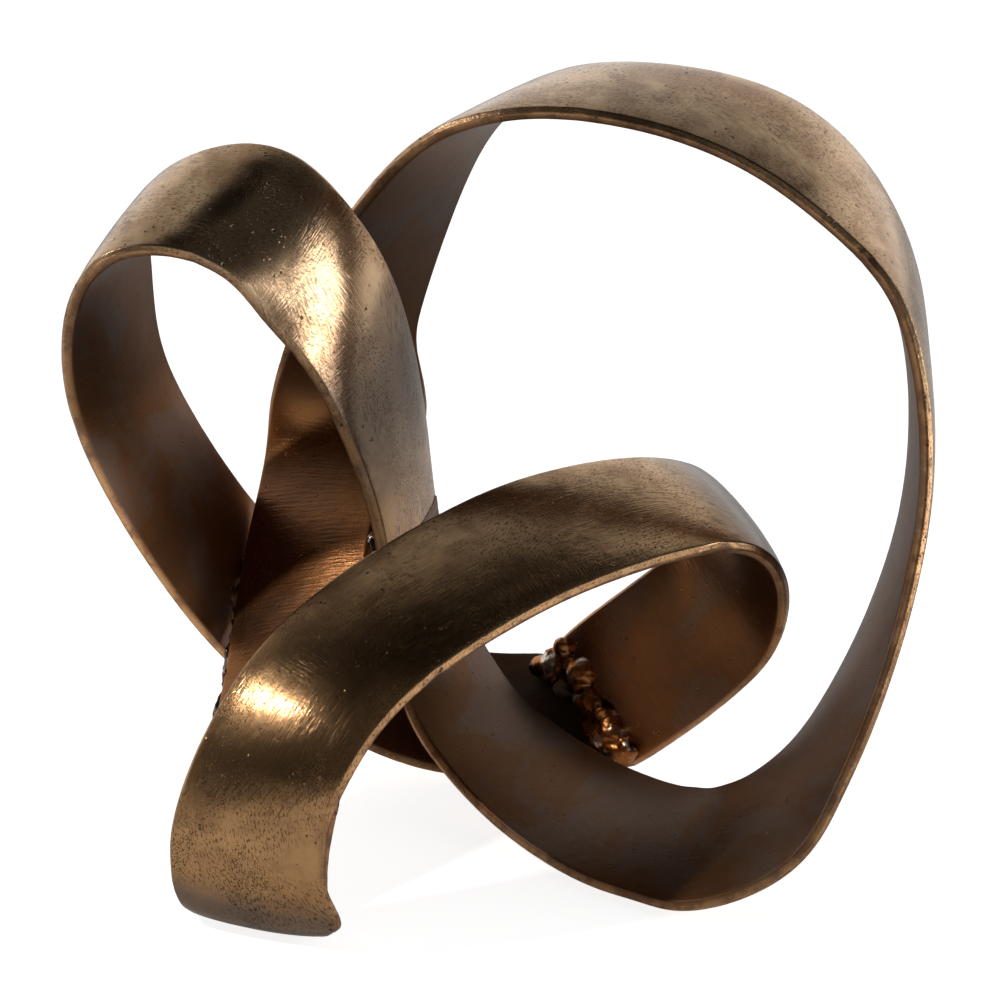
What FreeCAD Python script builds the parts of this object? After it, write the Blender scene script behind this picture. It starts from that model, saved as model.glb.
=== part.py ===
import FreeCAD, Part
import math
import os
import Sketcher
from FreeCAD import Vector

# A knot sculpture cast from a metal band in three strips, welded end to end into one closed knot.
# Millimetres. X runs to the right, Y to the back and Z up. The origin lies under the middle of the
# knot, on the surface that it stands on.

DRIVING_SIZES = [
    ("knot_width", 248, "overall, left to right"),
    ("knot_depth", 175, "overall, front to back"),
    ("knot_height", 208, "overall, above the surface"),
    ("band_width", 47, "band, rim to rim"),
    ("rim_thickness", 4.6, "band, at the edge of a rim"),
    ("face_crown", 1.5, "rise of each broad face in its middle"),
    ("rim_crown", 0.8, "rise of each rim in its middle"),
    ("seam_gap", 3, "ground seam, along the band"),
    ("seam_proud", 0.3, "ground seam, above the band"),
    ("bead_radius", 6, "largest lump of the rough corner weld"),
    ("bead_offset", 1, "corner weld, towards the inside of the corner"),
    ("tack_radius", 4, "weld where two strips touch"),
    ("floor_cut", 10, "depth of the grinding block under the knot"),
]

# Stations along each strip: the band's centre as shares of width, depth and height, then the way
# across the band, from its front rim to its back rim, as a heading from +X and a lean upwards.
FRONT_SHARES = [
    (-0.269, -0.199, 0.087, 167, -12),
    (-0.281, -0.285, 0.044, 168, -3),
    (-0.277, -0.354, 0.020, 166, 3),
    (-0.273, -0.411, 0.029, 162, 4),
    (-0.273, -0.434, 0.082, 158, 3),
    (-0.269, -0.434, 0.159, 155, 1),
    (-0.193, -0.348, 0.327, 141, 13),
    (-0.023, -0.182, 0.438, 126, 21),
    (0.073, -0.102, 0.467, 121, 21),
    (0.170, -0.028, 0.476, 119, 17),
    (0.243, 0.035, 0.457, 119, 16),
    (0.283, 0.098, 0.400, 118, 22),
    (0.283, 0.143, 0.327, 122, 28),
    (0.251, 0.172, 0.255, 130, 36),
    (0.154, 0.218, 0.140, 135, 40),
    (0.110, 0.252, 0.082, 130, 30),
]
LEFT_SHARES = [
    (0.110, 0.252, 0.082, 130, 30),
    (0.033, 0.281, 0.063, 102, 30),
    (-0.076, 0.281, 0.077, 84, 32),
    (-0.185, 0.275, 0.145, 71, 34),
    (-0.290, 0.269, 0.246, 65, 29),
    (-0.415, 0.223, 0.496, 62, 14),
    (-0.447, 0.189, 0.635, 62, 4),
    (-0.443, 0.161, 0.746, 68, 1),
    (-0.419, 0.149, 0.823, 80, 7),
    (-0.350, 0.132, 0.861, 82, 22),
    (-0.273, 0.121, 0.847, 68, 37),
    (-0.217, 0.126, 0.779, 56, 32),
    (-0.165, 0.149, 0.674, 60, 20),
    (-0.120, 0.206, 0.472, 71, 10),
    (-0.108, 0.241, 0.356, 73, 6),
]
BIG_SHARES = [
    (-0.108, 0.241, 0.356, 73, 6),
    (-0.092, 0.246, 0.231, 66, -2),
    (-0.048, 0.195, 0.116, 52, -5),
    (0.001, 0.121, 0.068, 46, 0),
    (0.073, -0.005, 0.039, 44, 9),
    (0.154, -0.148, 0.039, 52, 17),
    (0.190, -0.194, 0.044, 63, 20),
    (0.227, -0.234, 0.053, 76, 22),
    (0.295, -0.239, 0.087, 102, 9),
    (0.348, -0.199, 0.145, 105, -8),
    (0.400, -0.131, 0.236, 103, -21),
    (0.473, 0.035, 0.457, 92, -28),
    (0.477, 0.155, 0.654, 81, -20),
    (0.452, 0.195, 0.760, 75, -7),
    (0.388, 0.229, 0.861, 73, 8),
    (0.295, 0.252, 0.938, 76, 12),
    (0.174, 0.281, 0.976, 81, 7),
    (0.057, 0.303, 0.976, 79, 0),
    (-0.019, 0.321, 0.938, 74, -9),
    (-0.076, 0.338, 0.866, 65, -18),
    (-0.156, 0.395, 0.674, 43, -20),
    (-0.173, 0.412, 0.587, 33, -17),
    (-0.177, 0.395, 0.515, 5, -13),
    (-0.193, 0.355, 0.452, -24, 0),
    (-0.209, 0.286, 0.395, -29, 11),
    (-0.225, 0.195, 0.332, -28, 18),
    (-0.241, -0.005, 0.193, -20, 17),
    (-0.269, -0.199, 0.087, -13, 12),
]
# Lumps of the corner weld: place along the seam as a share of the band's width, and a share of
# the bead's radius.
LUMP_SHARES = [(-0.40, 0.88), (-0.19, 1.00), (0.03, 0.92), (0.24, 0.98), (0.42, 0.84)]
CORE_SHARE = 0.8

# Tacks of the big strip to the left strip: the station before the tack, the share of the way to
# the next station, and the rim, 1 for the back rim and -1 for the front one.
TACK_SHARES = [("base_tack", 2, 0.6, 1), ("right_tack", 24, 0.85, 1), ("left_tack", 25, 0.5, -1)]

doc = FreeCAD.newDocument("knot_sculpture")


def make_sheet():
    sheet = doc.addObject("Spreadsheet::Sheet", "Sizes")
    for row, (alias, value, note) in enumerate(DRIVING_SIZES, 1):
        sheet.set(f"A{row}", note)
        sheet.set(f"B{row}", str(value))
        sheet.setAlias(f"B{row}", alias)
    doc.recompute()
    return sheet


sizes = make_sheet()


def stations(share_table):
    """Centre and across vector of each station."""
    places = []
    for x_share, y_share, z_share, heading, lean in share_table:
        centre = Vector(x_share * sizes.knot_width, y_share * sizes.knot_depth, z_share * sizes.knot_height)
        turn = math.radians(heading)
        tilt = math.radians(lean)
        across = Vector(math.cos(tilt) * math.cos(turn), math.cos(tilt) * math.sin(turn), math.sin(tilt))
        places.append((centre, across))
    return places


def heading_between(first, second):
    return (second[0] - first[0]).normalize()


def section_frame(place, tangent):
    """Frame of a band section: X across the band, Y out of its face, Z ahead along the band."""
    centre, across = place
    normal = tangent.cross(across).normalize()
    ahead = across.cross(normal)
    return FreeCAD.Placement(centre, FreeCAD.Rotation(across, normal, ahead, "XYZ"))


def strip_frames(places, before=None, after=None):
    """Section frames of a strip; a strip that runs on smoothly names the places just past its ends."""
    chain = [before] + places + [after]
    frames = []
    for previous, place, following in zip(chain, places, chain[2:]):
        tangent = Vector()
        if previous:
            tangent += heading_between(previous, place)
        if following:
            tangent += heading_between(place, following)
        frames.append(section_frame(place, tangent))
    return frames


def moved_ahead(frame, distance):
    return frame.multiply(FreeCAD.Placement(Vector(0, 0, distance), FreeCAD.Rotation()))


def draw_section(sketch, proud="0"):
    """The band's section: two crowned faces and two crowned rims."""
    side = sizes.band_width / 2 - sizes.rim_crown
    edge = sizes.rim_thickness / 2
    face = edge + sizes.face_crown
    rim = sizes.band_width / 2
    outline = [
        (Vector(side, edge), Vector(0, face), Vector(-side, edge)),
        (Vector(-side, edge), Vector(-rim, 0), Vector(-side, -edge)),
        (Vector(-side, -edge), Vector(0, -face), Vector(side, -edge)),
        (Vector(side, -edge), Vector(rim, 0), Vector(side, edge)),
    ]
    for points in outline:
        sketch.addGeometry(Part.Arc(*points), False)
    add = sketch.addConstraint
    for arc in range(len(outline)):
        add(Sketcher.Constraint("Coincident", arc, 2, (arc + 1) % len(outline), 1))
    add(Sketcher.Constraint("Symmetric", 0, 1, 2, 1, -1, 1))
    add(Sketcher.Constraint("Symmetric", 0, 2, 2, 2, -1, 1))
    add(Sketcher.Constraint("Horizontal", 0, 1, 0, 2))
    add(Sketcher.Constraint("Vertical", 1, 1, 1, 2))
    add(Sketcher.Constraint("Equal", 0, 2))
    add(Sketcher.Constraint("Equal", 1, 3))
    chord = f"(Sizes.band_width - 2 * Sizes.rim_crown + 2 * {proud})"
    gauge = f"(Sizes.rim_thickness + 2 * {proud})"
    named = {
        "chord": (Sketcher.Constraint("DistanceX", 0, 2, 0, 1, side * 2), chord),
        "gauge": (Sketcher.Constraint("DistanceY", 1, 2, 1, 1, edge * 2), gauge),
        "face_radius": (
            Sketcher.Constraint("Radius", 0, arc_radius(side * 2, sizes.face_crown)),
            radius_expression(chord, "Sizes.face_crown"),
        ),
        "rim_radius": (
            Sketcher.Constraint("Radius", 1, arc_radius(edge * 2, sizes.rim_crown)),
            radius_expression(gauge, "Sizes.rim_crown"),
        ),
    }
    for name, (constraint, expression) in named.items():
        sketch.renameConstraint(add(constraint), name)
        sketch.setExpression(f"Constraints.{name}", expression)


def arc_radius(chord, rise):
    return (chord * chord / 4 + rise * rise) / (2 * rise)


def radius_expression(chord, rise):
    return f"({chord} ^ 2 / 4 + {rise} ^ 2) / (2 * {rise})"


def make_strip(label, frames):
    """A strip of the band, lofted through its sections."""
    sections = []
    for frame in frames:
        sketch = doc.addObject("Sketcher::SketchObject", "BandSection")
        sketch.Placement = frame
        draw_section(sketch)
        sections.append(sketch)
    strip = doc.addObject("Part::Loft", label)
    strip.Label = label
    strip.Sections = sections
    strip.Solid = True
    strip.MaxDegree = 2
    return strip


def make_seam(label, frame):
    """A ground seam weld: a short, slightly proud length of band between two strips."""
    body = doc.addObject("PartDesign::Body", label)
    body.Label = label
    body.Placement = frame
    sketch = body.newObject("Sketcher::SketchObject", "SeamSection")
    plane = [item for item in body.Origin.OriginFeatures if item.Role == "XY_Plane"][0]
    sketch.AttachmentSupport = [(plane, "")]
    sketch.MapMode = "FlatFace"
    draw_section(sketch, "Sizes.seam_proud")
    pad = body.newObject("PartDesign::Pad", "Pad")
    pad.Profile = sketch
    pad.setExpression("Length", "Sizes.seam_gap")
    pad.Midplane = True
    body.Tip = pad
    return body


def make_bead(label, frame):
    """The rough corner weld: a run of weld metal along the fold, with overlapping lumps on it."""
    core = doc.addObject("Part::Cylinder", "Core")
    core.setExpression("Radius", f"Sizes.bead_radius * {CORE_SHARE}")
    core.setExpression("Height", "Sizes.band_width")
    start = Vector(-sizes.band_width / 2, -sizes.bead_offset, 0)
    along_seam = FreeCAD.Rotation(Vector(0, 0, 1), Vector(1, 0, 0))
    core.Placement = FreeCAD.Placement(frame.multVec(start), frame.Rotation.multiply(along_seam))
    lumps = [core]
    for place_share, size_share in LUMP_SHARES:
        lump = doc.addObject("Part::Sphere", "Lump")
        lump.setExpression("Radius", f"Sizes.bead_radius * {size_share}")
        centre = Vector(place_share * sizes.band_width, -sizes.bead_offset, 0)
        lump.Placement = FreeCAD.Placement(frame.multVec(centre), frame.Rotation)
        lumps.append(lump)
    bead = doc.addObject("Part::MultiFuse", label)
    bead.Label = label
    bead.Shapes = lumps
    return bead


def make_tack(label, station, share, rim):
    """A small round weld on one rim of the big strip."""
    before, after = [centre + across * rim * sizes.band_width / 2 for centre, across in big[station:station + 2]]
    tack = doc.addObject("Part::Sphere", label)
    tack.Label = label
    tack.setExpression("Radius", "Sizes.tack_radius")
    tack.Placement.Base = before + (after - before) * share
    return tack


def make_floor():
    """The block that stands for the grinding flat: all that lies under the surface."""
    floor = doc.addObject("Part::Box", "Floor")
    floor.setExpression("Length", "Sizes.knot_width")
    floor.setExpression("Width", "Sizes.knot_depth")
    floor.setExpression("Height", "Sizes.floor_cut")
    floor.Placement.Base = Vector(-sizes.knot_width / 2, -sizes.knot_depth / 2, -sizes.floor_cut)
    return floor


front = stations(FRONT_SHARES)
left = stations(LEFT_SHARES)
big = stations(BIG_SHARES)

half_gap = sizes.seam_gap / 2
front_frames = strip_frames(front, before=big[-2])
left_frames = strip_frames(left, after=big[1])
big_frames = strip_frames(big, before=left[-2], after=front[1])
rear_seam_frame = big_frames[0]
foot_seam_frame = front_frames[0]
corner_frame = front_frames[-1]
front_frames[0] = moved_ahead(foot_seam_frame, half_gap)
left_frames[-1] = moved_ahead(rear_seam_frame, -half_gap)
big_frames[0] = moved_ahead(rear_seam_frame, half_gap)
big_frames[-1] = moved_ahead(big_frames[-1], -half_gap)

front_strip = make_strip("front_strip", front_frames)
left_strip = make_strip("left_strip", left_frames)
big_strip = make_strip("big_strip", big_frames)
welds = [
    make_seam("rear_seam", rear_seam_frame),
    make_seam("foot_seam", foot_seam_frame),
]
bead = make_bead("corner_bead", corner_frame)
tacks = [make_tack(*row) for row in TACK_SHARES]

cutters = doc.addObject("Part::MultiFuse", "Cutters")
cutters.Shapes = [make_floor(), bead] + tacks


def cut_strip(label, strip, tool):
    ribbon = doc.addObject("Part::Cut", label)
    ribbon.Label = label
    ribbon.Base = strip
    ribbon.Tool = tool
    return ribbon


# The big strip is ground to lie against the left strip wherever the two meet.
front_ribbon = cut_strip("front_ribbon", front_strip, cutters)
left_ribbon = cut_strip("left_ribbon", left_strip, cutters)
fitted_strip = cut_strip("fitted_strip", big_strip, left_strip)
big_ribbon = cut_strip("big_ribbon", fitted_strip, cutters)

doc.recompute()

for item in doc.Objects:
    if "Invalid" in item.State or "Error" in item.State:
        raise RuntimeError(f"{item.Label} failed: {item.State}")

sub_parts = [front_ribbon, left_ribbon, big_ribbon, bead] + welds + tacks
os.makedirs("parts", exist_ok=True)
for item in sub_parts:
    if item.Shape.isNull() or not item.Shape.isValid():
        raise RuntimeError(f"{item.Label} has no valid shape")
    item.Shape.exportStep(f"parts/{item.Label}.step")
    box = item.Shape.BoundBox
    print(item.Label, len(item.Shape.Solids), "solid", round(item.Shape.Volume), "mm3", box)
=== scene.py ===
import bmesh
import bpy
import math
import numpy as np
import random
from mathutils import Matrix, Vector, noise


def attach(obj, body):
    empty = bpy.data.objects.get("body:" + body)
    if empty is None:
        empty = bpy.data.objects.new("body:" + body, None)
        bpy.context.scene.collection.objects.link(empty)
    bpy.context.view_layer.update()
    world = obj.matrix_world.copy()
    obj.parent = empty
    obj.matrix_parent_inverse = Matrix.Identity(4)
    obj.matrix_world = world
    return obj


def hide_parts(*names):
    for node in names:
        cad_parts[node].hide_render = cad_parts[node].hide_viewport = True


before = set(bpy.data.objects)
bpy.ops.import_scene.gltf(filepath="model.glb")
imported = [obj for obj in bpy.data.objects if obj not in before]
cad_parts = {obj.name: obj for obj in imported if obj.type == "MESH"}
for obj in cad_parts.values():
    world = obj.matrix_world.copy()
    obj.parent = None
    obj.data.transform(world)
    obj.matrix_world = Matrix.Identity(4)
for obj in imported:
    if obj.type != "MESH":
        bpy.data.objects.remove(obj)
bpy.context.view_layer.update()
print("frame loaded:", len(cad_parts), "nodes")

mm = 0.001
tiny = 1e-12

# the knot's nominal size and its band, in metres
knot = {
    "width": 0.248,
    "depth": 0.175,
    "height": 0.208,
    "bandWidth": 0.047,
    "rimThickness": 0.0046,
    "faceCrown": 0.0015,
    "rimCrown": 0.0008,
}
halfWidth = knot["bandWidth"] / 2
halfRim = knot["rimThickness"] / 2

# stations along the band: centre as shares of width, depth and height, then heading and lean
# of the way across it, in degrees
leftShares = [
    (0.110, 0.252, 0.082, 130, 30),
    (0.033, 0.281, 0.063, 102, 30),
    (-0.076, 0.281, 0.077, 84, 32),
    (-0.185, 0.275, 0.145, 71, 34),
    (-0.290, 0.269, 0.246, 65, 29),
    (-0.415, 0.223, 0.496, 62, 14),
    (-0.447, 0.189, 0.635, 62, 4),
    (-0.443, 0.161, 0.746, 68, 1),
    (-0.419, 0.149, 0.823, 80, 7),
    (-0.350, 0.132, 0.861, 82, 22),
    (-0.273, 0.121, 0.847, 68, 37),
    (-0.217, 0.126, 0.779, 56, 32),
    (-0.165, 0.149, 0.674, 60, 20),
    (-0.120, 0.206, 0.472, 71, 10),
]
bigShares = [
    (-0.108, 0.241, 0.356, 73, 6),
    (-0.092, 0.246, 0.231, 66, -2),
    (-0.048, 0.195, 0.116, 52, -5),
    (0.001, 0.121, 0.068, 46, 0),
    (0.073, -0.005, 0.039, 44, 9),
    (0.154, -0.148, 0.039, 52, 17),
    (0.190, -0.194, 0.044, 63, 20),
    (0.227, -0.234, 0.053, 76, 22),
    (0.295, -0.239, 0.087, 102, 9),
    (0.348, -0.199, 0.145, 105, -8),
    (0.400, -0.131, 0.236, 103, -21),
    (0.473, 0.035, 0.457, 92, -28),
    (0.477, 0.155, 0.654, 81, -20),
    (0.452, 0.195, 0.760, 75, -7),
    (0.388, 0.229, 0.861, 73, 8),
    (0.295, 0.252, 0.938, 76, 12),
    (0.174, 0.281, 0.976, 81, 7),
    (0.057, 0.303, 0.976, 79, 0),
    (-0.019, 0.321, 0.938, 74, -9),
    (-0.076, 0.338, 0.866, 65, -18),
    (-0.156, 0.395, 0.674, 43, -20),
    (-0.173, 0.412, 0.587, 33, -17),
    (-0.177, 0.395, 0.515, 5, -13),
    (-0.193, 0.355, 0.452, -24, 0),
    (-0.209, 0.286, 0.395, -29, 11),
    (-0.225, 0.195, 0.332, -28, 18),
    (-0.241, -0.005, 0.193, -20, 17),
]
frontShares = [
    (-0.269, -0.199, 0.087, -13, 12),
    (-0.281, -0.285, 0.044, -12, 3),
    (-0.277, -0.354, 0.020, -14, -3),
    (-0.273, -0.411, 0.029, -18, -4),
    (-0.273, -0.434, 0.082, -22, -3),
    (-0.269, -0.434, 0.159, -25, -1),
    (-0.193, -0.348, 0.327, -39, -13),
    (-0.023, -0.182, 0.438, -54, -21),
    (0.073, -0.102, 0.467, -59, -21),
    (0.170, -0.028, 0.476, -61, -17),
    (0.243, 0.035, 0.457, -61, -16),
    (0.283, 0.098, 0.400, -62, -22),
    (0.283, 0.143, 0.327, -58, -28),
    (0.251, 0.172, 0.255, -50, -36),
    (0.154, 0.218, 0.140, -45, -40),
    (0.110, 0.252, 0.082, -50, -30),
]
bandShares = leftShares + bigShares + frontShares
rearSeamPlace = len(leftShares)
footSeamPlace = len(leftShares) + len(bigShares)
lastPlace = len(bandShares) - 1


# the band's run
sampling = {
    "slopeStep": 0.01 * mm,     # how far the spline is read either side of a place, for its direction
    "onePiece": 2000,           # places read to space a piece's rings
    "wholeBand": 8000,
}


def splineThrough(values, knots, at):
    # natural cubic spline: no break in curvature, so reflections flow
    count = len(knots)
    gaps = np.diff(knots)
    matrix = np.eye(count)
    right = np.zeros_like(values)
    for i in range(1, count - 1):
        matrix[i, i - 1:i + 2] = gaps[i - 1], 2 * (gaps[i - 1] + gaps[i]), gaps[i]
        rise = (values[i + 1] - values[i]) / gaps[i] - (values[i] - values[i - 1]) / gaps[i - 1]
        right[i] = 6 * rise
    bend = np.linalg.solve(matrix, right)
    span = np.clip(np.searchsorted(knots, at) - 1, 0, count - 2)
    h = gaps[span][:, None]
    past = (at - knots[span])[:, None]
    ahead = h - past
    curve = (bend[span] * ahead ** 3 + bend[span + 1] * past ** 3) / (6 * h)
    start = (values[span] / h - bend[span] * h / 6) * ahead
    end = (values[span + 1] / h - bend[span + 1] * h / 6) * past
    return curve + start + end


def bandTable():
    rows = []
    for x, y, z, heading, lean in bandShares:
        turn, tilt = math.radians(heading), math.radians(lean)
        across = (math.cos(tilt) * math.cos(turn), math.cos(tilt) * math.sin(turn), math.sin(tilt))
        rows.append((x * knot["width"], y * knot["depth"], z * knot["height"]) + across)
    return np.array(rows)


bandRows = bandTable()
stationGaps = np.sqrt(np.linalg.norm(np.diff(bandRows[:, :3], axis=0), axis=1))
bandKnots = np.concatenate([[0], np.cumsum(stationGaps)])


def bandFrames(places):
    # places are station numbers with fractions; gives centre, across, normal at each
    places = np.asarray(places, float)
    step, end = sampling["slopeStep"], bandKnots[-1]
    at = np.interp(places, np.arange(len(bandKnots)), bandKnots)
    rows = splineThrough(bandRows, bandKnots, at)
    before = splineThrough(bandRows, bandKnots, np.clip(at - step, 0, end))
    after = splineThrough(bandRows, bandKnots, np.clip(at + step, 0, end))
    tangent = after[:, :3] - before[:, :3]
    tangent /= np.linalg.norm(tangent, axis=1)[:, None]
    across = rows[:, 3:] / np.linalg.norm(rows[:, 3:], axis=1)[:, None]
    normal = np.cross(tangent, across)
    normal /= np.linalg.norm(normal, axis=1)[:, None]
    return rows[:, :3], across, normal


def runAlong(places):
    # distance along the band's centre from the first of the places
    steps = np.linalg.norm(np.diff(bandFrames(places)[0], axis=0), axis=1)
    return np.concatenate([[0], np.cumsum(steps)])


def evenPlaces(first, last, pitch):
    # places with about the same distance between neighbours
    fine = np.linspace(first, last, sampling["onePiece"])
    run = runAlong(fine)
    count = max(3, int(run[-1] / pitch) + 1)
    return np.interp(np.linspace(0, run[-1], count), run, fine)


finePlaces = np.linspace(0, lastPlace, sampling["wholeBand"])
fineRun = runAlong(finePlaces)


def runAt(place):
    return np.interp(place, finePlaces, fineRun)


def placeAfter(place, distance):
    return float(np.interp(runAt(place) + distance, fineRun, finePlaces))


# the strips and ground seams
bandMaking = {
    "ringPitch": 1.3 * mm,
    "faceSteps": 34,
    "edgeRound": 0.9 * mm,
    "roundSteps": 3,
    "rimSteps": 4,
    "handWave": 0.34 * mm,      # hand-finished waviness, always inwards
    "castGrain": 0.07 * mm,
    "rimWave": 0.55 * mm,
    "rimGrain": 0.16 * mm,
    "edgeFall": 0.45 * mm,      # how far the polished face falls off towards its rims
    "fallStart": 15 * mm,       # from the middle of the face
    "broadShare": 0.75,         # of the broad waves in the hand-finished waviness
    "rimReach": 2.2 * mm,       # how far in from the edge the rim's own finish starts
    "rimCalm": 0.55,            # share of the faces' waviness that is gone at the rims
    "merge": 0.00001 * mm,
}
# noise in the surfaces: scale and shift
surfaceNoise = {
    "broadWave": (38, 3.1),
    "closeWave": (95, 7.7),
    "grain": (420, 1.3),
    "wander": (24, 11.0),
    "grit": (600, 5.0),
    "blister": (260, 2.0),
    "fineBlister": (900, 9.0),
}
# nicks and flats in the rims: place, rim (1 or -1), depth, length
rimNicks = [
    (rearSeamPlace + 13.3, -1, 0.7 * mm, 1.6 * mm),
    (rearSeamPlace + 13.45, -1, 0.5 * mm, 1.2 * mm),
    (rearSeamPlace + 16.6, -1, 0.5 * mm, 2.4 * mm),
    (rearSeamPlace + 11.2, -1, 0.4 * mm, 2.0 * mm),
    (footSeamPlace + 9.4, 1, 0.8 * mm, 3.0 * mm),
    (footSeamPlace + 6.4, 1, 0.35 * mm, 2.0 * mm),
    (9.3, -1, 0.4 * mm, 1.8 * mm),
    (11.6, -1, 0.5 * mm, 2.2 * mm),
    (5.5, -1, 0.35 * mm, 3.0 * mm),
]
# where the band's edge swings out (or in, if less than 0): place, rim, amount, length
rimFlares = [
    (footSeamPlace + 3.5, 1, 4.0 * mm, 7 * mm),
    (footSeamPlace + 2.5, 1, -3.4 * mm, 5 * mm),
    (footSeamPlace + 2.6, -1, -4.0 * mm, 7 * mm),
    (footSeamPlace + 1.4, -1, -2.6 * mm, 16 * mm),
    (footSeamPlace + 5.2, 1, -0.8 * mm, 10 * mm),
]


def swells(table, place):
    # adds up the bumps of a table at one place, for each rim
    total = {1: 0.0, -1: 0.0}
    run = runAt(place)
    for there, rim, amount, length in table:
        away = (run - runAt(there)) / length
        total[rim] += amount * math.exp(-away * away)
    return total


def bandOutline():
    # half of the section, one face and the rim after it: x across, y out of the face
    b = bandMaking
    flat = halfWidth - knot["rimCrown"] - b["edgeRound"]
    points = []
    for u in np.linspace(1, -1, b["faceSteps"]):
        points.append((u * flat, halfRim + knot["faceCrown"] * (1 - u * u)))
    for i in range(1, b["roundSteps"] + 1):
        turn = math.pi / 2 * i / b["roundSteps"]
        x = -flat - b["edgeRound"] * math.sin(turn)
        points.append((x, halfRim - b["edgeRound"] * (1 - math.cos(turn))))
    top = halfRim - b["edgeRound"]
    for i in range(1, b["rimSteps"]):
        y = top - 2 * top * i / b["rimSteps"]
        bulge = knot["rimCrown"] * (1 - (y / top) ** 2)
        points.append((-flat - b["edgeRound"] - bulge, y))
    for i in range(b["roundSteps"], 0, -1):
        turn = math.pi / 2 * i / b["roundSteps"]
        x = -flat - b["edgeRound"] * math.sin(turn)
        points.append((x, -halfRim + b["edgeRound"] * (1 - math.cos(turn))))
    return np.array(points)


def noise01(point, kind):
    # noise from 0 to 1
    scale, shift = surfaceNoise[kind]
    return 0.5 + 0.5 * noise.noise(Vector(point) * scale + Vector((shift, shift, shift)))


def addAttribute(mesh, name, values):
    layer = mesh.attributes.new(name, "FLOAT", "POINT")
    layer.data.foreach_set("value", np.asarray(values, np.float32))


def smoothShade(mesh):
    mesh.polygons.foreach_set("use_smooth", [True] * len(mesh.polygons))


def meshFrom(bm, name):
    mesh = bpy.data.meshes.new(name)
    bm.to_mesh(mesh)
    bm.free()
    return mesh


def newObject(name, data):
    made = bpy.data.objects.new(name, data)
    bpy.context.scene.collection.objects.link(made)
    return made


def finishedPoint(x, y, ring, polishedFace, proud, grainSize):
    # a point of the section with the marks of casting and handwork: where it lies, its share of
    # rim and its place across the band; ring is centre, across, normal, nicks and flares
    b = bandMaking
    centre, across, normal, nicks, flares = ring
    out = 1 if y > 0 else -1
    end = 1 if x > 0 else -1
    if out == polishedFace:
        beyond = max(0, (abs(x) - b["fallStart"]) / (halfWidth - b["fallStart"]))
        y -= out * b["edgeFall"] * beyond ** 2 * min(1, abs(y) / halfRim)
    spot = centre + across * x + normal * y
    rimShare = min(1, max(0, (abs(x) - halfWidth + b["rimReach"]) / b["rimReach"]))
    broad, close = b["broadShare"], 1 - b["broadShare"]
    wave = b["handWave"] * (broad * noise01(spot, "broadWave") + close * noise01(spot, "closeWave"))
    grain = grainSize * noise01(spot, "grain")
    y += out * (proud - (wave + grain)) * (1 - b["rimCalm"] * rimShare)
    wander = b["rimWave"] * noise01(centre + across * halfWidth * end, "wander")
    grit = b["rimGrain"] * noise01(spot, "grit") * rimShare
    x -= end * (nicks[end] * rimShare + (wander + grit) * abs(x) / halfWidth - proud)
    x += end * flares[end] * (abs(x) / halfWidth) ** 3
    return centre + across * x + normal * y, rimShare, x / halfWidth


def makeBand(name, first, last, polishedFace, proud=0.0, extraGrain=0.0):
    # polishedFace is 1 or -1, the side of the section that is polished; the other one is satin
    b = bandMaking
    half = bandOutline()
    outline = np.vstack([half, -half])
    steps = len(outline)
    sides = np.linalg.norm(np.diff(np.vstack([outline, outline[:1]]), axis=0), axis=1)
    girth = np.concatenate([[0], np.cumsum(sides)])
    places = evenPlaces(first, last, b["ringPitch"])
    bm = bmesh.new()
    bmesh.ops.create_grid(bm, x_segments=steps, y_segments=len(places) - 1, size=1)
    bm.verts.ensure_lookup_table()
    bandMap = bm.loops.layers.uv.new("bandMap")
    layers = {key: bm.verts.layers.float.new(key) for key in ("polish", "rim", "place", "lip")}
    corners = {}
    grainSize = b["castGrain"] + extraGrain
    for row, (place, *frameAt) in enumerate(zip(places, *bandFrames(places))):
        ring = (*frameAt, swells(rimNicks, place), swells(rimFlares, place))
        run = runAt(place)
        for column in range(steps + 1):
            x, y = outline[column % steps]
            spot, rimShare, lip = finishedPoint(x, y, ring, polishedFace, proud, grainSize)
            vert = bm.verts[row * (steps + 1) + column]
            vert.co = (spot[0], spot[1], max(spot[2], 0.0))
            facing = 0.5 + 0.5 * polishedFace * (1 if y > 0 else -1)
            vert[layers["polish"]] = facing if rimShare < 1 else 0.5
            vert[layers["rim"]] = rimShare
            vert[layers["place"]] = place
            vert[layers["lip"]] = lip
            corners[vert.index] = (run, girth[column])
    for face in bm.faces:
        for loop in face.loops:
            loop[bandMap].uv = corners[loop.vert.index]
    bmesh.ops.remove_doubles(bm, verts=bm.verts, dist=b["merge"])
    bmesh.ops.holes_fill(bm, edges=[e for e in bm.edges if e.is_boundary], sides=0)
    bmesh.ops.recalc_face_normals(bm, faces=bm.faces)
    mesh = meshFrom(bm, name)
    smoothShade(mesh)
    return newObject(name, mesh)


# a ground seam stands a little proud of the strips that it joins
seam = {"gap": 3 * mm, "proud": 0.12 * mm, "grain": 0.12 * mm}


def seamSpan(place):
    return placeAfter(place, -seam["gap"] / 2), placeAfter(place, seam["gap"] / 2)


rearSpan, footSpan = seamSpan(rearSeamPlace), seamSpan(footSeamPlace)
leftBand = makeBand("leftBand", 0, rearSpan[0], 1)
bigBand = makeBand("bigBand", rearSpan[1], footSpan[0], -1)
frontBand = makeBand("frontBand", footSpan[1], lastPlace, -1)
rearSeam = makeBand("rearSeam", *rearSpan, -1, seam["proud"], seam["grain"])
footSeam = makeBand("footSeam", *footSpan, -1, seam["proud"], seam["grain"])
bandPieces = [leftBand, bigBand, frontBand, rearSeam, footSeam]
print("band made:", sum(len(piece.data.polygons) for piece in bandPieces), "faces")


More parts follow.
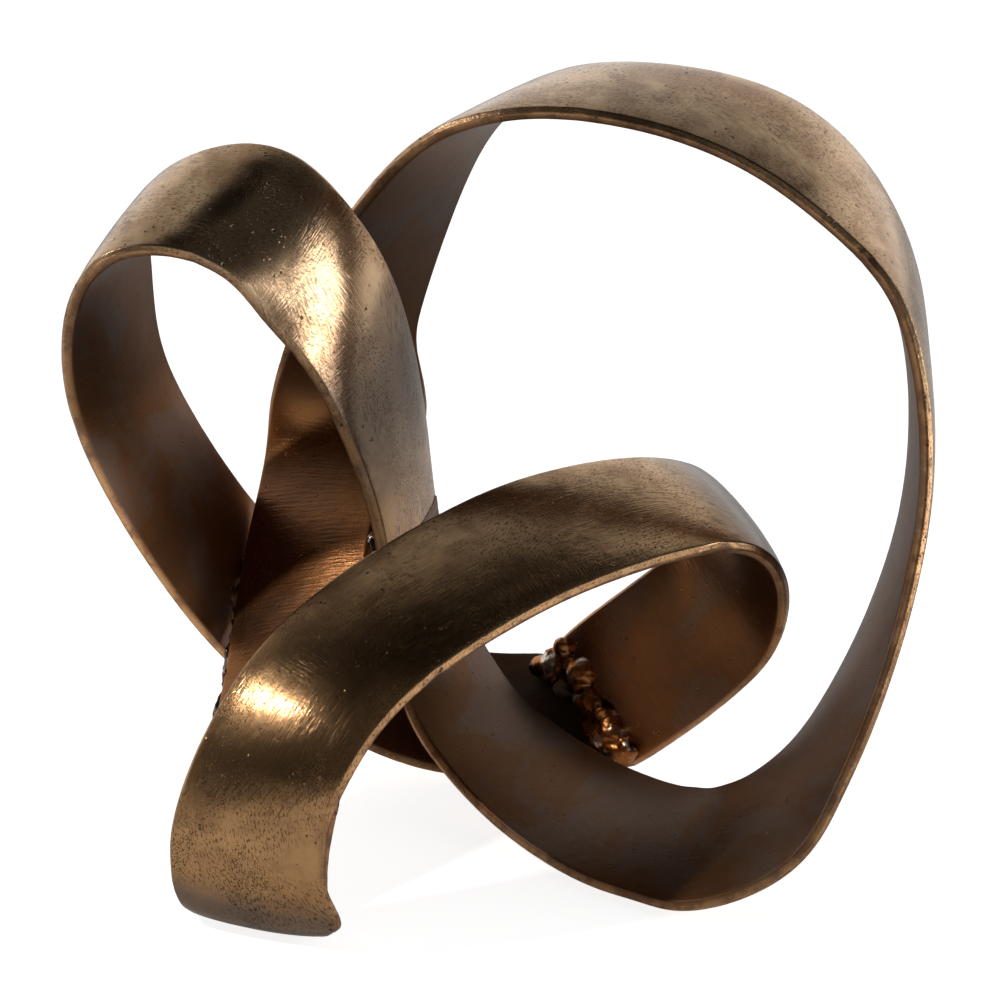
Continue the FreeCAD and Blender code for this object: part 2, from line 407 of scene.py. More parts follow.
# the welds
weld = {
    "voxel": 0.6 * mm,
    "softening": 13,            # rounds of smoothing
    "lumpiness": 1.0 * mm,
    "fineShare": 0.3,
}
cornerWeldMaking = {
    "layers": [                 # how many lumps, their radius and rise off the fold
        (18, 4.6 * mm, 3.0 * mm),
        (46, 3.4 * mm, 3.6 * mm),
        (26, 2.2 * mm, 4.9 * mm),
    ],
    "first": -0.42,             # shares of the band's width, from its middle
    "last": 0.43,
    "narrow": 5.0 * mm,         # reach up the tail at the first end and at the last
    "wide": 12 * mm,
    "onBase": -0.2,             # how far it spreads onto the base strand, as a share of its reach
    "fold": 6 * mm,             # how far from the fold the two strands' directions are taken
    "shake": 0.9 * mm,
    "sizes": (0.6, 1.2),
    "stretch": (0.8, 1.5),
    "lumpiness": 1.3 * mm,
}
tackLumps = {"shake": 0.7 * mm, "sizes": (0.7, 1.15), "stretch": (1.0, 1.6)}
baseTackMaking = {
    "first": rearSeamPlace + 2.1,
    "last": rearSeamPlace + 3.0,
    "heatAt": rearSeamPlace + 2.6,
    "rim": 1,
    "count": 16,
    "radius": 2.2 * mm,
    "sink": 3.0 * mm,
    "below": 4.5 * mm,
}
rightTackMaking = {
    "first": rearSeamPlace + 23.9,
    "last": rearSeamPlace + 25.2,
    "heatAt": rearSeamPlace + 24.7,
    "rim": 1,
    "count": 22,
    "radius": 1.9 * mm,
    "sink": 0.4 * mm,
    "below": 0,
}
leftTackMaking = {
    "first": rearSeamPlace + 24.9,
    "last": rearSeamPlace + 26.2,
    "heatAt": rearSeamPlace + 25.5,
    "rim": -1,
    "count": 26,
    "radius": 1.5 * mm,
    "sink": 0.6 * mm,
    "below": 0,
}
rng = random.Random(721)


def makeWeld(name, lumps, lumpiness):
    # overlapping lumps melted into one skin
    bm = bmesh.new()
    for centre, radius, stretch, along in lumps:
        turn = Vector((0, 0, 1)).rotation_difference(along).to_matrix().to_4x4()
        shape = Matrix.Translation(centre) @ turn @ Matrix.Diagonal((1, 1, stretch, 1))
        bmesh.ops.create_icosphere(bm, subdivisions=3, radius=radius, matrix=shape)
    rough = newObject(name + "Rough", meshFrom(bm, name + "Rough"))
    melt = rough.modifiers.new("melt", "REMESH")
    melt.mode = "VOXEL"
    melt.voxel_size = weld["voxel"]
    soften = rough.modifiers.new("soften", "SMOOTH")
    soften.iterations = weld["softening"]
    graph = bpy.context.evaluated_depsgraph_get()
    skin = bpy.data.meshes.new_from_object(rough.evaluated_get(graph))
    bpy.data.objects.remove(rough)
    bm = bmesh.new()
    bm.from_mesh(skin)
    bpy.data.meshes.remove(skin)
    bm.normal_update()
    for vert in bm.verts:
        blister = noise01(vert.co, "blister") - 0.5
        fine = noise01(vert.co, "fineBlister") - 0.5
        vert.co += vert.normal * lumpiness * (blister + weld["fineShare"] * fine)
        vert.co.z = max(vert.co.z, 0.0)
    mesh = meshFrom(bm, name)
    smoothShade(mesh)
    return newObject(name, mesh)


def shaken(spot, amount):
    return Vector(spot) + Vector([rng.uniform(-1, 1) for _ in range(3)]) * amount


def newLump(spot, radius, along, making):
    centre = shaken(spot, making["shake"])
    size = radius * rng.uniform(*making["sizes"])
    return centre, size, rng.uniform(*making["stretch"]), Vector(along)


def bandFrameAt(place):
    return [row[0] for row in bandFrames([place])]


def cornerLumps():
    # an uneven patch along the fold where the tail lands on the base strand, wider at its back end
    patch = cornerWeldMaking
    centre, across, _ = bandFrameAt(0)
    base = bandFrameAt(placeAfter(0, patch["fold"]))[0] - centre
    tail = bandFrameAt(placeAfter(lastPlace, -patch["fold"]))[0] - centre
    base, tail = base / np.linalg.norm(base), tail / np.linalg.norm(tail)
    out = np.cross(tail, across) + np.cross(across, base)
    out /= np.linalg.norm(out)
    lumps = []
    for count, radius, rise in patch["layers"]:
        for i in range(count):
            step = (i + rng.random()) / count
            share = patch["first"] + (patch["last"] - patch["first"]) * step
            reach = patch["narrow"] + (patch["wide"] - patch["narrow"]) * step
            side = rng.uniform(patch["onBase"], 1) * max(0, reach - radius / 2)
            way = tail if side > 0 else base
            spot = centre + across * share * knot["bandWidth"] + way * abs(side) + out * rise
            along = across if rng.random() < 0.5 else way
            lumps.append(newLump(spot, radius, along, patch))
    return lumps


def rimLumps(tack):
    # lumps along one rim of the big strip, sunk into it and shifted off its middle by below
    lumps = []
    for place in np.linspace(tack["first"], tack["last"], tack["count"]):
        centre, across, normal = bandFrameAt(place)
        spot = centre + across * tack["rim"] * (halfWidth - tack["sink"]) - normal * tack["below"]
        lumps.append(newLump(spot, tack["radius"], np.cross(across, normal), tackLumps))
    return lumps


cornerWeld = makeWeld("cornerWeld", cornerLumps(), cornerWeldMaking["lumpiness"])
baseTack = makeWeld("baseTack", rimLumps(baseTackMaking), weld["lumpiness"])
rightTack = makeWeld("rightTack", rimLumps(rightTackMaking), weld["lumpiness"])
leftTack = makeWeld("leftTack", rimLumps(leftTackMaking), weld["lumpiness"])
print("welds made")


# what is painted on the strips' points: heat by the welds, and spans of places for the rest
tints = {
    "cornerReach": 13 * mm,
    "tackReach": 9 * mm,
    "tackHeat": 0.75,
    "fullHeat": 1.25,           # above 1, so that the heat is full for some way round the weld
    "soft": 0.6,                # places over which a span begins and ends
    "warm": (rearSeamPlace + 22.0, footSeamPlace + 0.3),
    "tail": (footSeamPlace + 9.5, lastPlace + 1),
    "tailWarmth": 0.55,
    "pitted": (footSeamPlace + 1.0, footSeamPlace + 6.2),
    "patinaAndShade": [                  # where the polish is duller and browner: patina, and under the foot a painted reflection of the shaded floor
        (11.7, 13.2),
        (footSeamPlace + 9.4, footSeamPlace + 11.6),
        # painted reflection of the shaded floor in the foot's underside
        (footSeamPlace - 1, footSeamPlace + 4.1),
    ],
}
# where the band is made darker or brighter than elsewhere, partly the metal's own patina and stain and
# partly painted light:
# first and last place, face (1 polished, -1 satin, 0 both), where across the band it starts and is full
# (0, 0 for all of it), and the factor
toneAndPaintedLightSpans = [
    (rearSeamPlace + 13.8, rearSeamPlace + 16.8, 1, 0.3, -0.9, 0.5),
    (footSeamPlace + 9.4, footSeamPlace + 11.8, 1, 0, 0, 0.6),
    (11.9, 13.7, 1, 0, 0, 0.72),
    (rearSeamPlace + 18.6, rearSeamPlace + 21.6, -1, 0, 0, 0.5),
    # painted light: the satin face low in the left loop made brighter
    (2.8, 5.6, -1, 0, 0, 2.2),
    # painted light: the tail's satin face made brighter
    (footSeamPlace + 13.4, lastPlace + 1, -1, 0, 0, 1.6),
    (footSeamPlace + 5.5, footSeamPlace + 8.3, 1, 0.9, 0.5, 0.65),
    # painted reflection: brighter polish along the lower rim of the front strip, for the bright floor its
    # rounded edge would mirror
    (footSeamPlace + 5.0, footSeamPlace + 9.2, 1, 0.5, 0.85, 1.5),
    (10.2, 13.7, 0, -0.94, -1.0, 0.45),
    (-1, 2.2, -1, 0, 0, 0.4),
]


def pointValues(mesh, name):
    values = np.zeros(len(mesh.vertices), np.float32)
    mesh.attributes[name].data.foreach_get("value", values)
    return values


def heatAt(points):
    # hottest along the corner weld's fold and at the tacks
    heat = np.zeros(len(points))
    spots = [(0, (-1, 1), tints["cornerReach"], 1.0)]
    for tack in (baseTackMaking, rightTackMaking, leftTackMaking):
        spots.append((tack["heatAt"], (tack["rim"], tack["rim"]), tints["tackReach"], tints["tackHeat"]))
    for place, ends, reach, most in spots:
        centre, across, _ = bandFrameAt(place)
        start, end = (centre + across * halfWidth * rim for rim in ends)
        line = end - start
        square = max(float(line @ line), tiny)
        along = np.clip(((points - start) @ line) / square, 0, 1)
        away = np.linalg.norm(points - (start + along[:, None] * line), axis=1)
        heat = np.maximum(heat, most * np.clip(tints["fullHeat"] - away / reach, 0, 1))
    return heat


def paintTints(piece):
    mesh = piece.data
    points = np.zeros(len(mesh.vertices) * 3, np.float32)
    mesh.vertices.foreach_get("co", points)
    points = points.reshape(-1, 3)
    places, polish, lip = (pointValues(mesh, name) for name in ("place", "polish", "lip"))

    def between(first, last):
        rise, fall = (places - first) / tints["soft"], (last - places) / tints["soft"]
        return np.clip(rise, 0, 1) * np.clip(fall, 0, 1)

    toneAndPaintedLight = np.ones(len(points))
    for first, last, face, start, full, factor in toneAndPaintedLightSpans:
        share = between(first, last) * {1: polish, -1: 1 - polish, 0: 1}[face]
        if start != full:
            share = share * np.clip((lip - start) / (full - start), 0, 1)
        toneAndPaintedLight = toneAndPaintedLight * (1 - share) + factor * share
    tail = tints["tailWarmth"] * between(*tints["tail"])
    addAttribute(mesh, "toneAndPaintedLight", toneAndPaintedLight)
    addAttribute(mesh, "heat", heatAt(points))
    addAttribute(mesh, "warm", np.maximum(between(*tints["warm"]), tail))
    addAttribute(mesh, "pitted", between(*tints["pitted"]))
    addAttribute(mesh, "patinaAndShadeMask", np.maximum.reduce([between(*span) for span in tints["patinaAndShade"]]))


for piece in bandPieces:
    paintTints(piece)
print("tints painted")


# shader nodes
def addNode(tree, kind, **settings):
    made = tree.nodes.new(kind)
    for key, value in settings.items():
        setattr(made, key, value)
    return made


def feed(tree, source, target):
    # source is a socket or a plain value
    if isinstance(source, bpy.types.NodeSocket):
        tree.links.new(source, target)
    else:
        target.default_value = source


def mathNode(tree, operation, *values):
    made = addNode(tree, "ShaderNodeMath", operation=operation)
    for index, value in enumerate(values):
        feed(tree, value, made.inputs[index])
    return made.outputs[0]


def times(tree, first, second):
    return mathNode(tree, "MULTIPLY", first, second)


def mixColor(tree, share, first, second, blend="MIX"):
    # the colour sockets of a Mix node are 6 and 7 in, 2 out
    made = addNode(tree, "ShaderNodeMix", data_type="RGBA", blend_type=blend)
    for index, value in ((0, share), (6, first), (7, second)):
        feed(tree, value, made.inputs[index])
    return made.outputs[2]


def mixFloat(tree, share, first, second):
    made = addNode(tree, "ShaderNodeMix", data_type="FLOAT")
    for index, value in ((0, share), (2, first), (3, second)):
        feed(tree, value, made.inputs[index])
    return made.outputs[0]


def rampNode(tree, value, low, high, toLow=0.0, toHigh=1.0):
    # a soft rise from toLow to toHigh while the value goes from low to high
    made = addNode(tree, "ShaderNodeMapRange", interpolation_type="SMOOTHSTEP")
    for index, given in enumerate((value, low, high, toLow, toHigh)):
        feed(tree, given, made.inputs[index])
    return made.outputs[0]


def noiseNode(tree, vector, scale, detail, roughness, distortion=0.0):
    made = addNode(tree, "ShaderNodeTexNoise")
    tree.links.new(vector, made.inputs["Vector"])
    made.inputs["Scale"].default_value = scale
    made.inputs["Detail"].default_value = detail
    made.inputs["Roughness"].default_value = roughness
    made.inputs["Distortion"].default_value = distortion
    return made.outputs["Fac"]


def voronoiNode(tree, vector, scale):
    made = addNode(tree, "ShaderNodeTexVoronoi")
    tree.links.new(vector, made.inputs["Vector"])
    made.inputs["Scale"].default_value = scale
    return made.outputs["Distance"]


def mapped(tree, vector, **settings):
    made = addNode(tree, "ShaderNodeMapping")
    tree.links.new(vector, made.inputs["Vector"])
    for name, value in settings.items():
        made.inputs[name].default_value = value
    return made.outputs["Vector"]


def objectPlace(tree):
    return tree.nodes.new("ShaderNodeTexCoord").outputs["Object"]


def bandPlace(tree):
    return addNode(tree, "ShaderNodeUVMap", uv_map="bandMap").outputs["UV"]


def attributeNode(tree, name):
    return addNode(tree, "ShaderNodeAttribute", attribute_name=name).outputs["Fac"]


def bumpNode(tree, height, strength, distance):
    made = addNode(tree, "ShaderNodeBump")
    made.inputs["Strength"].default_value = strength
    made.inputs["Distance"].default_value = distance
    feed(tree, height, made.inputs["Height"])
    return made.outputs["Normal"]


def newGroup(name, inputs, outputs):
    group = bpy.data.node_groups.new(name, "ShaderNodeTree")
    for socket, value in inputs.items():
        made = group.interface.new_socket(socket, in_out="INPUT", socket_type="NodeSocketFloat")
        made.default_value = value
    for socket in outputs:
        group.interface.new_socket(socket, in_out="OUTPUT", socket_type="NodeSocketFloat")
    start = group.nodes.new("NodeGroupInput")
    end = group.nodes.new("NodeGroupOutput")
    return group, start.outputs, end.inputs


def groupNode(tree, group, **values):
    made = tree.nodes.new("ShaderNodeGroup")
    made.node_tree = group
    for name, value in values.items():
        feed(tree, value, made.inputs[name.replace("_", " ")])
    return made.outputs


def newMaterial(name):
    material = bpy.data.materials.new(name)
    material.use_nodes = True
    tree = material.node_tree
    return material, tree, tree.nodes["Principled BSDF"]


# in the tables of the finishes, a noise is scale, detail, roughness and, for some, distortion;
# a rise is the two values between which a mask goes from 0 to 1
castLook = {
    "cloud": (32, 4, 0.6, 0.4),
    "blotch": (95, 4, 0.62, 0.8),
    "stainShares": (0.6, 0.4),  # of cloud and blotch
    "stainRise": (0.40, 0.64),
    "pitArea": (55, 3, 0.6),
    "pitAreaRise": (0.42, 0.62),
    "speck": (2100, 2, 0.7),
    "speckLimit": 0.72,         # specks show above it; it falls where there are more pits
    "limitFall": -0.17,
    "speckRise": (0.0, 0.035),
    "holeScale": 420,
    "holeEdge": (1100, 2, 0.6),
    "holeSize": 0.46,
    "holeRise": (0.0, 0.07),
    "holeArea": (230, 3, 0.6),
    "holeAreaRise": (0.56, 0.62),
    "orangePeel": (700, 3, 0.6),
    "peelHeight": 0.22,
    "speckDepth": 0.3,
}


def makeCastSkin():
    # pits, dark marks and cloudy staining of cast metal
    c = castLook
    outputs = ("Pits", "Stain", "Cloud", "Height")
    group, given, result = newGroup("castSkin", {"Pit Amount": 0.3, "Stain Amount": 0.5}, outputs)
    where = objectPlace(group)
    cloud = noiseNode(group, where, *c["cloud"])
    blotch = noiseNode(group, where, *c["blotch"])
    area = rampNode(group, noiseNode(group, where, *c["pitArea"]), *c["pitAreaRise"])
    amount = times(group, area, given["Pit Amount"])
    limit = mathNode(group, "MULTIPLY_ADD", amount, c["limitFall"], c["speckLimit"])
    above = mathNode(group, "SUBTRACT", noiseNode(group, where, *c["speck"]), limit)
    specks = rampNode(group, above, *c["speckRise"])
    reach = times(group, noiseNode(group, where, *c["holeEdge"]), c["holeSize"])
    inside = mathNode(group, "SUBTRACT", reach, voronoiNode(group, where, c["holeScale"]))
    few = rampNode(group, noiseNode(group, where, *c["holeArea"]), *c["holeAreaRise"])
    holes = times(group, rampNode(group, inside, *c["holeRise"]), few)
    feed(group, mathNode(group, "MAXIMUM", specks, holes), result["Pits"])
    shares = [times(group, part, share) for part, share in zip((cloud, blotch), c["stainShares"])]
    stain = rampNode(group, mathNode(group, "ADD", *shares), *c["stainRise"])
    feed(group, times(group, stain, given["Stain Amount"]), result["Stain"])
    feed(group, cloud, result["Cloud"])
    peel = times(group, noiseNode(group, where, *c["orangePeel"]), c["peelHeight"])
    dents = mathNode(group, "MAXIMUM", times(group, specks, c["speckDepth"]), holes)
    feed(group, mathNode(group, "SUBTRACT", peel, dents), result["Height"])
    return group


# marks run on the band's own map, in metres along and round it; a stretch is the scale each way
markLook = {
    "crossStretch": (2100, 140, 1),
    "longStretch": (110, 2300, 1),
    "stroke": (1, 2, 0.6),
    "strokeArea": (22, 2, 0.55),
    "strokeAreaRise": (0.44, 0.56),
    "dashTurn": 0.45,
    "dashStretch": (780, 1950, 1),
    "dash": (1, 1, 0.5),
    "dashRise": (0.56, 0.62),
    "dashArea": (48, 3, 0.6),
    "dashAreaRise": (0.37, 0.53),
    "hairTurn": -0.35,
    "hairStretch": (230, 1350, 1),
    "hair": (1, 2, 0.55),
    "hairRise": (0.50, 0.60),
    "hairArea": (27, 3, 0.6),
    "hairAreaRise": (0.47, 0.60),
    "hairShare": 0.8,
}


def shortMarks(group, along, where, kind):
    # dashes or hairs: thin marks at a slant, within patches
    m = markLook
    slant = mapped(group, along, Rotation=(0, 0, m[kind + "Turn"]))
    marks = noiseNode(group, mapped(group, slant, Scale=m[kind + "Stretch"]), *m[kind])
    area = rampNode(group, noiseNode(group, where, *m[kind + "Area"]), *m[kind + "AreaRise"])
    return times(group, rampNode(group, marks, *m[kind + "Rise"]), area)


def makeHandMarks():
    # file and sandpaper strokes, and short dark marks
    m = markLook
    group, given, result = newGroup("handMarks", {"Stroke Amount": 0.5}, ("Strokes", "Dashes", "Height"))
    along, where = bandPlace(group), objectPlace(group)
    cross = noiseNode(group, mapped(group, along, Scale=m["crossStretch"]), *m["stroke"])
    lengthwise = noiseNode(group, mapped(group, along, Scale=m["longStretch"]), *m["stroke"])
    which = rampNode(group, noiseNode(group, where, *m["strokeArea"]), *m["strokeAreaRise"])
    strokes = times(group, mixFloat(group, which, cross, lengthwise), given["Stroke Amount"])
    feed(group, strokes, result["Strokes"])
    feed(group, strokes, result["Height"])
    dashes = shortMarks(group, along, where, "dash")
    hairs = times(group, shortMarks(group, along, where, "hair"), m["hairShare"])
    feed(group, mathNode(group, "MAXIMUM", dashes, hairs), result["Dashes"])
    return group


castSkin = makeCastSkin()
handMarks = makeHandMarks()

metalColors = {
    "polished": (0.60, 0.335, 0.150, 1),
    "paintedSheenGold": (0.66, 0.45, 0.27, 1),
    "polishedDeep": (0.29, 0.155, 0.074, 1),
    "satin": (0.160, 0.075, 0.033, 1),
    "satinGrey": (0.160, 0.100, 0.070, 1),
    "warm": (0.360, 0.150, 0.055, 1),
    "rim": (0.62, 0.350, 0.170, 1),
    "rimDark": (0.34, 0.185, 0.100, 1),
    "pit": (0.034, 0.018, 0.010, 1),
    "burnt": (0.030, 0.017, 0.010, 1),
    "rust": (0.46, 0.170, 0.050, 1),
    "patinaAndShade": (0.20, 0.150, 0.118, 1),
    "paintedGlint": (0.80, 0.70, 0.60, 1),
}
bronze = {
    "stain": 0.75,
    "strokes": 1.0,
    "pitsAnywhere": 0.45,       # how pitted the band is, and how much more on the pitted span
    "pitsMore": 0.55,
    "satinPits": 0.35,          # share of the pits that shows on the satin face
    "paintedSheenHeights": (0.060, 0.125),  # metres above the table between which a painted sheen makes the polish paler, standing in for light reflected by the upper faces
    "greyRise": (0.47, 0.60),
    "warmRise": (0.40, 0.58),
    "warmLeast": 0.6,
    "warmOnPolish": 0.35,
    "patinaAndShadeShare": 0.8,
    "rimWear": (130, 4, 0.65),
    "rimWearRise": (0.40, 0.58),
    "rimRise": (0.35, 0.9),
    "rimShare": 0.85,
    "strokeShade": (0.30, 0.84),    # brightness: this much per stroke, above this base
    "heatRise": (0.25, 0.75),
    "heatUneven": 0.5,
    "rustRise": (0.45, 0.62),
    "dashes": (0.08, 0.66),     # on the satin and on the polished face
    "pitDark": 0.9,
    "darkShare": 0.95,
    "polishedRoughness": 0.14,
    "satinRoughness": 0.40,
    "warmRoughness": 0.25,
    "rougher": {"rim": 0.20, "stain": 0.05, "dark": 0.12, "stroke": 0.03},
    "strokeHeight": 0.7,
    "sand": (1500, 2, 0.6),
    "sandHeight": 1.3,
    "rippleStretch": (1100, 90, 1),
    "ripple": (1, 3, 0.6),
    "rippleHeight": 1.2,
    "bump": (0.6, 0.13 * mm),   # strength and depth
}
weldLook = {
    "pits": 0.7,
    "stain": 1.0,
    "glow": (180, 3, 0.6),
    "glowRise": (0.38, 0.54),
    "paintedGlint": (170, 2, 0.5, 0.5),
    "paintedGlintRise": (0.56, 0.66),
    "roughness": (0.35, 0.65, 0.16, 0.34),  # two values of the clouds, then the roughness at each
    "bump": (0.7, 0.3 * mm),
}


def bronzeColor(tree, skin, marks, polish, rim, dark):
    b, c = bronze, metalColors
    where = objectPlace(tree)
    parts = tree.nodes.new("ShaderNodeSeparateXYZ")
    tree.links.new(where, parts.inputs[0])
    # painted sheen: the polish is made paler higher up, standing in for the light that upper faces reflect
    paintedSheen = rampNode(tree, parts.outputs["Z"], *b["paintedSheenHeights"])
    gold = mixColor(tree, paintedSheen, c["polished"], c["paintedSheenGold"])
    gold = mixColor(tree, skin["Stain"], gold, c["polishedDeep"])
    dull = mixColor(tree, rampNode(tree, skin["Cloud"], *b["greyRise"]), c["satin"], c["satinGrey"])
    color = mixColor(tree, polish, dull, gold)
    clouded = rampNode(tree, skin["Cloud"], *b["warmRise"], 1.0, b["warmLeast"])
    warmth = times(tree, attributeNode(tree, "warm"), clouded)
    warmth = times(tree, warmth, rampNode(tree, polish, 0.0, 1.0, 1.0, b["warmOnPolish"]))
    color = mixColor(tree, warmth, color, c["warm"])
    # patina, and under the foot a painted reflection of the shaded floor, dull the polish
    patinaAndShadeMask = times(tree, times(tree, attributeNode(tree, "patinaAndShadeMask"), polish), b["patinaAndShadeShare"])
    color = mixColor(tree, patinaAndShadeMask, color, c["patinaAndShade"])
    worn = rampNode(tree, noiseNode(tree, where, *b["rimWear"]), *b["rimWearRise"])
    rimColor = mixColor(tree, worn, c["rimDark"], c["rim"])
    color = mixColor(tree, times(tree, rampNode(tree, rim, *b["rimRise"]), b["rimShare"]), color, rimColor)
    shade = mathNode(tree, "MULTIPLY_ADD", marks["Strokes"], *b["strokeShade"])
    # the tone spans, painted light among them, scale the colour
    shade = times(tree, shade, attributeNode(tree, "toneAndPaintedLight"))
    color = mixColor(tree, 1.0, color, shade, "MULTIPLY")
    uneven = mathNode(tree, "ADD", skin["Cloud"], b["heatUneven"])
    scorch = rampNode(tree, times(tree, attributeNode(tree, "heat"), uneven), *b["heatRise"])
    burn = mixColor(tree, rampNode(tree, skin["Stain"], *b["rustRise"]), c["burnt"], c["rust"])
    color = mixColor(tree, scorch, color, burn)
    return mixColor(tree, times(tree, dark, b["darkShare"]), color, c["pit"])


def makeBronze():
    b = bronze
    material, tree, shader = newMaterial("antiqueBronze")
    polish, rim = attributeNode(tree, "polish"), attributeNode(tree, "rim")
    warm, pitted = attributeNode(tree, "warm"), attributeNode(tree, "pitted")
    pitAmount = mathNode(tree, "MULTIPLY_ADD", pitted, b["pitsMore"], b["pitsAnywhere"])
    skin = groupNode(tree, castSkin, Pit_Amount=pitAmount, Stain_Amount=b["stain"])
    marks = groupNode(tree, handMarks, Stroke_Amount=b["strokes"])
    pits = times(tree, skin["Pits"], rampNode(tree, polish, 0.0, 1.0, b["satinPits"], 1.0))
    dashes = times(tree, marks["Dashes"], rampNode(tree, polish, 0.0, 1.0, *b["dashes"]))
    dark = mathNode(tree, "MAXIMUM", times(tree, pits, b["pitDark"]), dashes)
    color = bronzeColor(tree, skin, marks, polish, rim, dark)
    tree.links.new(color, shader.inputs["Base Color"])

    rough = rampNode(tree, warm, 0.0, 1.0, b["satinRoughness"], b["warmRoughness"])
    rough = rampNode(tree, polish, 0.0, 1.0, rough, b["polishedRoughness"])
    sources = {"rim": rim, "stain": skin["Stain"], "dark": dark, "stroke": marks["Strokes"]}
    for key, more in b["rougher"].items():
        rough = mathNode(tree, "ADD", rough, times(tree, sources[key], more))
    tree.links.new(rough, shader.inputs["Roughness"])
    shader.inputs["Metallic"].default_value = 1.0

    height = mathNode(tree, "ADD", skin["Height"], times(tree, marks["Height"], b["strokeHeight"]))
    sand = times(tree, noiseNode(tree, objectPlace(tree), *b["sand"]), rim)
    height = mathNode(tree, "ADD", height, times(tree, sand, b["sandHeight"]))
    along = mapped(tree, bandPlace(tree), Scale=b["rippleStretch"])
    ripple = times(tree, noiseNode(tree, along, *b["ripple"]), warm)
    height = mathNode(tree, "ADD", height, times(tree, ripple, b["rippleHeight"]))
    tree.links.new(bumpNode(tree, height, *b["bump"]), shader.inputs["Normal"])
    return material


def makeWeldMetal(name, glowColor):
    w, c = weldLook, metalColors
    material, tree, shader = newMaterial(name)
    skin = groupNode(tree, castSkin, Pit_Amount=w["pits"], Stain_Amount=w["stain"])
    where = objectPlace(tree)
    glow = rampNode(tree, noiseNode(tree, where, *w["glow"]), *w["glowRise"])
    color = mixColor(tree, glow, c["burnt"], glowColor)
    # painted highlight: pale patches stand in for glints of light on the weld
    paintedGlint = rampNode(tree, noiseNode(tree, where, *w["paintedGlint"]), *w["paintedGlintRise"])
    color = mixColor(tree, paintedGlint, color, c["paintedGlint"])
    color = mixColor(tree, skin["Pits"], color, c["pit"])
    tree.links.new(color, shader.inputs["Base Color"])
    tree.links.new(rampNode(tree, skin["Cloud"], *w["roughness"]), shader.inputs["Roughness"])
    shader.inputs["Metallic"].default_value = 1.0
    tree.links.new(bumpNode(tree, skin["Height"], *w["bump"]), shader.inputs["Normal"])
    return material


bronzeMaterial = makeBronze()
weldMaterial = makeWeldMetal("weldMetal", metalColors["rust"])
tackMaterial = makeWeldMetal("tackMetal", metalColors["satinGrey"])
print("materials made")


# pieces onto the frame: piece, the node that it replaces, slot, material
dressing = [
    (frontBand, "front_ribbon", "bronze", bronzeMaterial),
    (leftBand, "left_ribbon", "bronze", bronzeMaterial),
    (bigBand, "big_ribbon", "bronze", bronzeMaterial),
    (rearSeam, "rear_seam", "ground_seam", bronzeMaterial),
    (footSeam, "foot_seam", "ground_seam", bronzeMaterial),
    (cornerWeld, "corner_bead", "weld", weldMaterial),
    (baseTack, "base_tack", "weld", tackMaterial),
    (rightTack, "right_tack", "weld", tackMaterial),
    (leftTack, "left_tack", "weld", tackMaterial),
]
for piece, node, slot, material in dressing:
    piece.data.materials.clear()
    piece.data.materials.append(material)
    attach(piece, "root")
    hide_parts(node)


# the studio: floor, room, softboxes and camera
floorLook = {
    "size": 6.0,
    "color": (0.86, 0.86, 0.86, 1),
    "roughness": 0.9,
    "shine": 0.1,
    "glow": 0.84,               # as the camera sees it, on top of the light that falls on it
    "inReflections": 0.20,      # share of that glow that shows in the metal
}
# in the room, heights and depths are those of the way looked in, from -1 to 1
roomLook = {
    "sweepHeights": (0.20, 0.85),
    "sweepGlow": (0.95, 0.42),
    "hallHeights": (0.12, 0.42),
    "hallGlow": (0.50, 0.04),
    "hallToSweep": (0.06, 0.46),
    "ceilingHeights": (0.93, 0.99),
    "ceilingGlow": (1.0, 0.12),
}
cameraMaking = {
    "eye": (0.0002, -1.0576, 0.4843),
    "look": (0.0002, -0.0239, 0.1081),
    "lens": 144.54,
    "sensor": 36.0,
    "nearest": 0.05,
}
# name, azimuth from +X and elevation in degrees, distance, width, height, power
softboxes = [
    ("leftSoftbox", 190, 41, 1.3, 0.06, 0.075, 3.4),
    ("rightSoftbox", -10, 12, 1.3, 0.60, 0.38, 3.3),
]


def makeSoftbox(name, azimuth, elevation, distance, width, height, power):
    light = bpy.data.lights.new(name, "AREA")
    light.shape = "RECTANGLE"
    light.size = width
    light.size_y = height
    light.energy = power
    lamp = newObject(name, light)
    a, e = math.radians(azimuth), math.radians(elevation)
    way = Vector((math.cos(e) * math.cos(a), math.cos(e) * math.sin(a), math.sin(e)))
    lamp.location = Vector(cameraMaking["look"]) + way * distance
    lamp.rotation_euler = way.to_track_quat("Z", "Y").to_euler()
    lamp.visible_camera = False


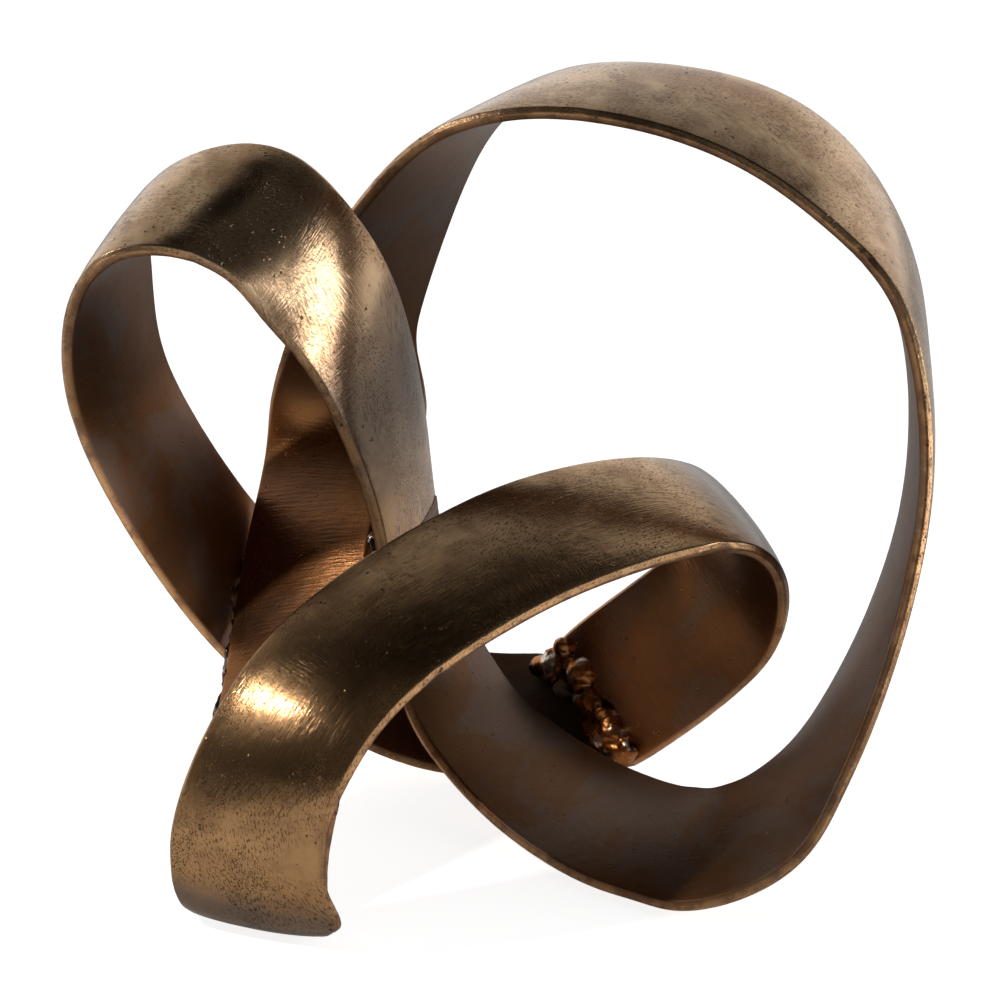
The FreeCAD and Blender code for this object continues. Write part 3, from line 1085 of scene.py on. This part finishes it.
def makeFloor():
    bm = bmesh.new()
    bmesh.ops.create_grid(bm, x_segments=1, y_segments=1, size=floorLook["size"] / 2)
    floor = newObject("floor", meshFrom(bm, "floor"))
    material, tree, shader = newMaterial("whiteFloor")
    shader.inputs["Base Color"].default_value = floorLook["color"]
    shader.inputs["Roughness"].default_value = floorLook["roughness"]
    shader.inputs["Specular IOR Level"].default_value = floorLook["shine"]
    shader.inputs["Emission Color"].default_value = (1, 1, 1, 1)
    seen = tree.nodes.new("ShaderNodeLightPath").outputs
    direct = mathNode(tree, "MAXIMUM", seen["Is Camera Ray"], seen["Is Transmission Ray"])
    mirrored = times(tree, seen["Is Glossy Ray"], floorLook["inReflections"])
    share = mathNode(tree, "MAXIMUM", direct, mirrored)
    tree.links.new(times(tree, share, floorLook["glow"]), shader.inputs["Emission Strength"])
    floor.data.materials.append(material)


def makeRoom():
    # a white sweep behind the knot that dims upwards, a dim hall in front and a dark ceiling;
    # to the camera all of it is white
    room = roomLook
    world = bpy.data.worlds.new("studio")
    bpy.context.scene.world = world
    world.use_nodes = True
    tree = world.node_tree
    parts = tree.nodes.new("ShaderNodeSeparateXYZ")
    way = tree.nodes.new("ShaderNodeTexCoord").outputs["Generated"]
    tree.links.new(way, parts.inputs[0])
    y, z = parts.outputs["Y"], parts.outputs["Z"]
    sweep = rampNode(tree, z, *room["sweepHeights"], *room["sweepGlow"])
    hall = rampNode(tree, z, *room["hallHeights"], *room["hallGlow"])
    walls = mixFloat(tree, rampNode(tree, y, *room["hallToSweep"]), hall, sweep)
    ceiling = rampNode(tree, z, *room["ceilingHeights"], *room["ceilingGlow"])
    seen = tree.nodes.new("ShaderNodeLightPath").outputs["Is Camera Ray"]
    strength = mathNode(tree, "MAXIMUM", seen, times(tree, walls, ceiling))
    back = tree.nodes["Background"]
    tree.links.new(strength, back.inputs["Strength"])
    back.inputs["Color"].default_value = (1, 1, 1, 1)


def makeCamera():
    data = bpy.data.cameras.new("camera")
    data.lens = cameraMaking["lens"]
    data.sensor_width = cameraMaking["sensor"]
    data.clip_start = cameraMaking["nearest"]
    camera = newObject("camera", data)
    eye, look = Vector(cameraMaking["eye"]), Vector(cameraMaking["look"])
    camera.location = eye
    camera.rotation_euler = (eye - look).to_track_quat("Z", "Y").to_euler()
    bpy.context.scene.camera = camera


makeFloor()
makeRoom()
for row in softboxes:
    makeSoftbox(*row)
makeCamera()
bpy.context.scene.view_settings.view_transform = "Standard"
print("studio made")
